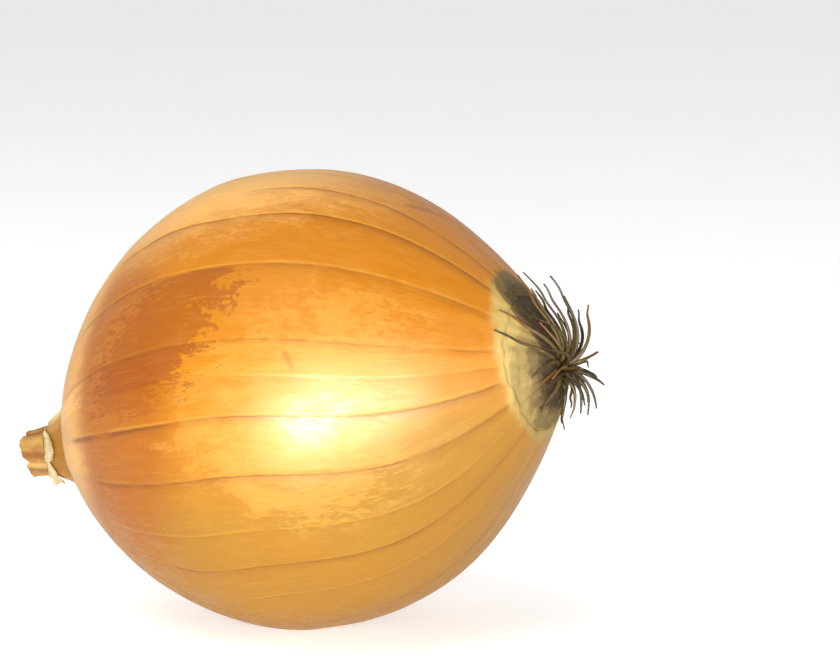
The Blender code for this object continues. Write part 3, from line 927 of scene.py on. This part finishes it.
# The curls of torn skin. Each is (name, CAD node, its stops round the neck). A stop is (azimuth in
# degrees, how wide the flap is there, how far its free edge stands off the neck, how far its root is
# from the sleeve's edge), in millimetres.
CURLS = (
    (
        "torn_skin_upper",
        "skin_curl_1",
        (
            (219, 0.2, 0.05, 0.2), (232, 0.7, 0.2, 0.6), (246, 1.7, 0.4, 0.7), (260, 2.7, 0.5, 0.6),
            (272, 3.0, 0.45, 0.4), (281, 2.6, 0.3, 0.3), (286, 1.5, 0.15, 0.2), (288.5, 0.3, 0.1, 0.2),
        ),
    ),
    (
        "torn_skin_lower",
        "skin_curl_2",
        (
            (284, 0.6, 0.12, 0.1), (294, 1.2, 0.25, -0.1), (306, 2.0, 0.4, -0.4),
            (316, 2.8, 0.6, -0.8), (323, 3.4, 0.8, -1.0), (328, 3.5, 0.9, -1.1),
            (334, 1.9, 1.0, -1.2), (341, 1.3, 1.2, -1.2), (345, 0.3, 1.3, -1.0),
        ),
    ),
    (
        "torn_skin_back",
        "skin_curl_3",
        (
            (46, 0.1, 0.1, 0), (66, 1.1, 0.5, 0), (88, 1.6, 0.8, 0), (112, 1.2, 0.6, 0),
            (136, 1.5, 0.9, 0), (152, 0.9, 0.5, 0), (162, 0.15, 0.1, 0),
        ),
    ),
)
CURL_COLUMNS = 72
CURL_ROWS = 16
CURL_THICKNESS = 0.14 * MM
CURL_TURN = math.radians(150)  # how far the flap rolls over
CURL_FOOT = 0.12 * MM  # how far off the sleeve it starts


def smooth_between(value, stops, numbers):
    """The numbers at the stops, with smooth steps between them."""
    after = np.clip(np.searchsorted(stops, value), 1, len(stops) - 1)
    low, high = stops[after - 1], stops[after]
    even = np.clip((value - low) / (high - low), 0, 1)
    share = 0.5 * ease(low, high, value) + 0.5 * even
    return numbers[after - 1] * (1 - share) + numbers[after] * share


def make_curl(spec, material):
    """A flap of the sleeve's torn edge, folded back over the sleeve and rolled outwards."""
    name, node, stops = spec
    degrees, *tables = (np.array(values) for values in zip(*stops))
    degree = np.linspace(degrees[0], degrees[-1], CURL_COLUMNS + 1)
    width, stand, root = (smooth_between(degree, degrees, table) * MM for table in tables)
    azimuth = np.radians(degree)
    across = np.arange(CURL_ROWS + 1)[:, None] / CURL_ROWS
    start = SLEEVE_END - 0.5 * sleeve_edge(azimuth) - CURL_FOOT + root
    station = start + width * across - 0.35 * stand * np.sin(math.pi * across)
    on_sleeve = np.maximum(station, SLEEVE_END)
    foot = bulb_radius(on_sleeve) + neck_gathers(on_sleeve, azimuth) + CURL_FOOT
    rise = 0.375 * (1 - np.cos(CURL_TURN * across)) + 0.315 * np.sin(CURL_TURN * across)
    ripple = 0.03 * MM * np.sin(17 * azimuth + 2 * across) * across
    points = place(station, foot + stand * rise + ripple, azimuth)
    faces = grid_faces(CURL_ROWS + 1, CURL_COLUMNS + 1, False)
    curl = build_mesh(name, points, faces, material)
    values = {"edge": (2 * across - 1) ** 2, "round": azimuth, "along": across}
    for key, numbers in values.items():
        add_values(curl.data, key, np.broadcast_to(numbers, station.shape))
    thick = curl.modifiers.new("thickness", "SOLIDIFY")
    thick.thickness = CURL_THICKNESS
    thick.offset = 0
    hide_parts(node)
    return curl


# ---------------------------------------------------------------- the root plate and the roots
PLATE_COLUMNS = 168
PLATE_ROWS = 60
PLATE_TUCK = 10.9 * MM  # the plate's edge goes in under the skin's


def make_plate(material):
    azimuths = np.arange(PLATE_COLUMNS) / PLATE_COLUMNS * TURN
    radii = PLATE_TUCK * np.sin(math.pi / 2 * (np.arange(1, PLATE_ROWS + 1) / PLATE_ROWS))
    grid_radius = np.broadcast_to(radii[:, None], (PLATE_ROWS, PLATE_COLUMNS)).copy()
    grid_azimuth = np.broadcast_to(azimuths, grid_radius.shape)
    out, up = PLATE_POWERS
    share = np.clip(grid_radius / PLATE_TUCK, 0, 1)
    height = RIM_STATION - 0.25 * MM + (PLATE_HEIGHT + 0.55 * MM) * (1 - share**out) ** up
    points = place(height, grid_radius, grid_azimuth).reshape(*height.shape, 3)
    rough = 0.26 * noise_field(points, 3.0 * MM, 3.0) + 0.12 * noise_field(points, 1.2 * MM, 4.0)
    ridges = 0.10 * np.cos(31 * grid_azimuth + 2 * np.sin(5 * grid_azimuth))
    rough = rough + ridges * ease(3, 7, grid_radius / MM)
    height = height + rough * MM * (1 - 0.7 * ease(9.0, 10.9, grid_radius / MM))
    floor = RIM_STATION - 1.7 * MM
    all_height = np.vstack([height, np.full(PLATE_COLUMNS, floor)])
    all_radius = np.vstack([grid_radius, np.full(PLATE_COLUMNS, 9.4 * MM)])
    all_azimuth = np.vstack([grid_azimuth, azimuths])
    points = place(all_height, all_radius, all_azimuth)
    ends = place(np.array([float(height[0].mean()), floor]), 0.0, 0.0)
    plate = build_turned("root_plate_rough", points, PLATE_COLUMNS, ends, material)
    for name, values in root_zones(all_height, all_radius, all_azimuth).items():
        add_values(plate.data, name, np.append(values.ravel(), [1.0, 1.0]))
    return plate


def strand_path(rank, points):
    """The CAD strand's path, with more points, a sway of its own and its corners smoothed."""
    dice = random.Random(SEED * 1000 + rank)
    pitch = STRAND_DIAMETER + STRAND_SPACING
    base = 0.62 * pitch * math.sqrt(rank + 0.5)
    start = rank * GOLDEN_ANGLE
    reach = dice.uniform(*STRAND_REACH) + STRAND_UP_REACH * max(-math.cos(start), 0.0)
    curl = dice.uniform(-STRAND_CURL, STRAND_CURL)
    lift = STRAND_LIFT * (1 - rank / STRAND_COUNT)
    wave, phase = dice.uniform(0.1, 0.55) * MM, dice.uniform(0, TURN)
    turns = dice.uniform(0.4, 0.9)
    path = []
    for i in range(points):
        t = i / (points - 1)
        radius = base + reach * t**1.25
        azimuth = start + curl * t * t
        rise = STRAND_DIAMETER / 2 + lift * t**0.7
        sway = wave * t * math.sin(phase + TURN * turns * t)
        across = TUFT_DROP + radius * math.cos(azimuth) - sway * math.sin(azimuth)
        beside = radius * math.sin(azimuth) + sway * math.cos(azimuth)
        from_axis = math.hypot(across, beside)
        station = float(root_end_station(from_axis)) - 0.5 * MM * (1 - t) ** 3 + GAP + rise
        path.append(Vector((across, beside, station)))
    for _ in range(STRAND_SMOOTHINGS):
        middle = [(a + 2 * b + c) / 4 for a, b, c in zip(path, path[1:], path[2:])]
        path = [path[0], *middle, path[-1]]
    return [AXIS @ point for point in path]


def tube(path, radii, sides, points, faces):
    """Adds a closed tube along a path to points and faces."""
    start = len(points)
    ahead = (path[1] - path[0]).normalized()
    side = ahead.orthogonal().normalized()
    for i, (here, radius) in enumerate(zip(path, radii)):
        ahead = (path[min(i + 1, len(path) - 1)] - path[max(i - 1, 0)]).normalized()
        side = (side - ahead * side.dot(ahead)).normalized()
        other = ahead.cross(side)
        for k in range(sides):
            angle = TURN * k / sides
            points.append(here + (side * math.cos(angle) + other * math.sin(angle)) * radius)
    for i in range(len(path) - 1):
        for k in range(sides):
            a, b = start + i * sides + k, start + i * sides + (k + 1) % sides
            faces.append((a, b, b + sides, a + sides))
    points.append(path[0] - (path[1] - path[0]) * 0.1)
    points.append(path[-1] + (path[-1] - path[-2]).normalized() * radii[-1])
    last = start + (len(path) - 1) * sides
    for k in range(sides):
        beside = (k + 1) % sides
        faces.append((start + beside, start + k, len(points) - 2))
        faces.append((last + k, last + beside, len(points) - 1))


STRAND_SIDES = 8
STRAND_POINTS = 26
STRAND_SMOOTHINGS = 3
TUFT_COUNT = 4  # the strands are shared out over this many pieces


def make_strands(name, ranks, material):
    points, faces, along, own = [], [], [], []
    for rank in ranks:
        dice = random.Random(SEED * 77 + rank)
        path = strand_path(rank, STRAND_POINTS)
        thick = STRAND_DIAMETER / 2 * dice.uniform(0.85, 1.2)
        shares = [i / (STRAND_POINTS - 1) for i in range(STRAND_POINTS)]
        knots = [1 + 0.08 * math.sin(11 * t + rank) for t in shares]
        radii = [thick * knot * (1.15 - 0.70 * t**1.6) for knot, t in zip(knots, shares)]
        tube(path, radii, STRAND_SIDES, points, faces)
        tone = dice.random()
        for t in shares:
            along.extend([t] * STRAND_SIDES)
        along.extend([0.0, 1.0])
        own.extend([tone] * (STRAND_POINTS * STRAND_SIDES + 2))
    strands = build_mesh(name, points, faces, material)
    add_values(strands.data, "along", along)
    add_values(strands.data, "own", own)
    for rank in ranks:
        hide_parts(f"root_{rank + 1:02d}")
    return strands


def make_onion():
    bulb = make_bulb(skin_material())
    stub = make_neck_stub(neck_material())
    torn = curl_material()
    curls = [make_curl(spec, torn) for spec in CURLS]
    plate = make_plate(plate_material())
    dry = strand_material()
    shares = [range(start, STRAND_COUNT, TUFT_COUNT) for start in range(TUFT_COUNT)]
    tufts = [make_strands(f"dry_roots_{i + 1}", ranks, dry) for i, ranks in enumerate(shares)]
    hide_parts("bulb")
    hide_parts("neck_stub")
    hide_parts("root_plate")
    slots = {
        "golden_skin": [bulb],
        "dried_neck": [stub],
        "torn_skin": curls,
        "root_plate": [plate],
        "dry_root": tufts,
    }
    for slot, pieces in slots.items():
        for piece in pieces:
            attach(piece, "root")


# ---------------------------------------------------------------- the studio
CAMERA_ELEVATION = math.radians(7.8)
CAMERA_AZIMUTH = math.radians(25.2)
CAMERA_DISTANCE = 0.6
LENS = 156.3
AIM_RIGHT = 21.1 * MM
AIM_UP = 12.0 * MM


def looking(azimuth, elevation):
    """The way from the onion to something at this azimuth and elevation."""
    flat = math.cos(elevation)
    return Vector((math.sin(azimuth) * flat, -math.cos(azimuth) * flat, math.sin(elevation)))


def make_camera():
    data = bpy.data.cameras.new("camera")
    camera = bpy.data.objects.new("camera", data)
    bpy.context.scene.collection.objects.link(camera)
    back = looking(CAMERA_AZIMUTH, CAMERA_ELEVATION)
    turn = (-back).to_track_quat("-Z", "Y")
    aim = AXIS.translation + turn @ Vector((AIM_RIGHT, AIM_UP, 0))
    camera.location = aim + back * CAMERA_DISTANCE
    camera.rotation_mode = "QUATERNION"
    camera.rotation_quaternion = turn
    data.lens = LENS
    data.clip_start = 0.01
    data.clip_end = 100
    bpy.context.scene.camera = camera


# Each lamp is (name, azimuth, elevation, distance, width, height, power, which rays see it), in
# degrees, metres and watts.
LAMPS = (
    ("key", 27, 6, 0.75, 0.22, 0.14, 7.3, "diffuse"),
    ("top", -10, 62, 0.9, 0.6, 0.6, 5.2, "diffuse"),
    ("fill", -60, 25, 0.9, 0.5, 0.5, 1.1, "diffuse"),
    ("glow", 37, 5, 0.4, 0.30, 0.14, 14.0, "gloss"),
    ("glint", 21, -3.5, 0.3, 0.034, 0.026, 3.0, "gloss"),
)
LAMP_AIM = Vector((0, 0, 35 * MM))


def make_lamp(name, azimuth, elevation, distance, width, height, power, rays):
    data = bpy.data.lights.new(name, "AREA")
    data.shape = "RECTANGLE"
    data.size = width
    data.size_y = height
    data.energy = power
    lamp = bpy.data.objects.new(name, data)
    back = looking(math.radians(azimuth), math.radians(elevation))
    lamp.location = LAMP_AIM + back * distance
    lamp.rotation_mode = "QUATERNION"
    lamp.rotation_quaternion = (-back).to_track_quat("-Z", "Y")
    lamp.visible_camera = False
    lamp.visible_diffuse = rays == "diffuse"
    lamp.visible_glossy = rays == "gloss"
    bpy.context.scene.collection.objects.link(lamp)


FLOOR_REACH = 30.0
FLOOR_GREY = (0.80, 0.80, 0.80)
FLOOR_PALE = (0.82, 0.82, 0.82)
FLOOR_GLOW = 0.46


def make_floor():
    g = Graph("pale_floor")
    grain = g.noise(g.place(), 0.02, 3.0)
    tone = g.mix(g.ramp(grain, 0.3, 0.7), FLOOR_GREY, FLOOR_PALE)
    white = (1.0, 1.0, 1.0, 1.0)
    material = g.finish(
        tone, 0.9, Specular_IOR_Level=0.2, Emission_Color=white, Emission_Strength=FLOOR_GLOW
    )
    corners = [(x * FLOOR_REACH, y * FLOOR_REACH, 0) for x, y in ((-1, -1), (1, -1), (1, 1), (-1, 1))]
    floor = build_mesh("floor", corners, [(0, 1, 2, 3)], material)


SURROUND = 0.95  # the light from the white walls and the ceiling
FRONT_DIM = 0.06  # and from the open side that the onion faces
FRONT_AZIMUTH = math.radians(30)
FRONT_EDGES = (-0.7, 0.25)  # cosines of the angles from the front between which it changes


def make_world():
    """White all round, and dimmer on the side that the onion faces."""
    world = bpy.data.worlds.new("studio")
    world.use_nodes = True
    tree = world.node_tree
    background = tree.nodes["Background"]
    background.inputs["Color"].default_value = (1.0, 1.0, 1.0, 1.0)
    way = tree.nodes.new("ShaderNodeTexCoord")
    facing = tree.nodes.new("ShaderNodeVectorMath")
    facing.operation = "DOT_PRODUCT"
    facing.inputs[1].default_value = looking(FRONT_AZIMUTH, 0.0)
    share = tree.nodes.new("ShaderNodeMapRange")
    share.interpolation_type = "SMOOTHSTEP"
    for socket, number in zip(share.inputs[1:5], (*FRONT_EDGES, SURROUND, FRONT_DIM)):
        socket.default_value = number
    tree.links.new(way.outputs["Generated"], facing.inputs[0])
    tree.links.new(facing.outputs["Value"], share.inputs[0])
    tree.links.new(share.outputs[0], background.inputs["Strength"])
    bpy.context.scene.world = world


def make_studio():
    make_world()
    for lamp in LAMPS:
        make_lamp(*lamp)
    bpy.context.scene.view_settings.view_transform = "Standard"
    bpy.context.scene.view_settings.look = "None"
    make_floor()


make_onion()
make_camera()
make_studio()
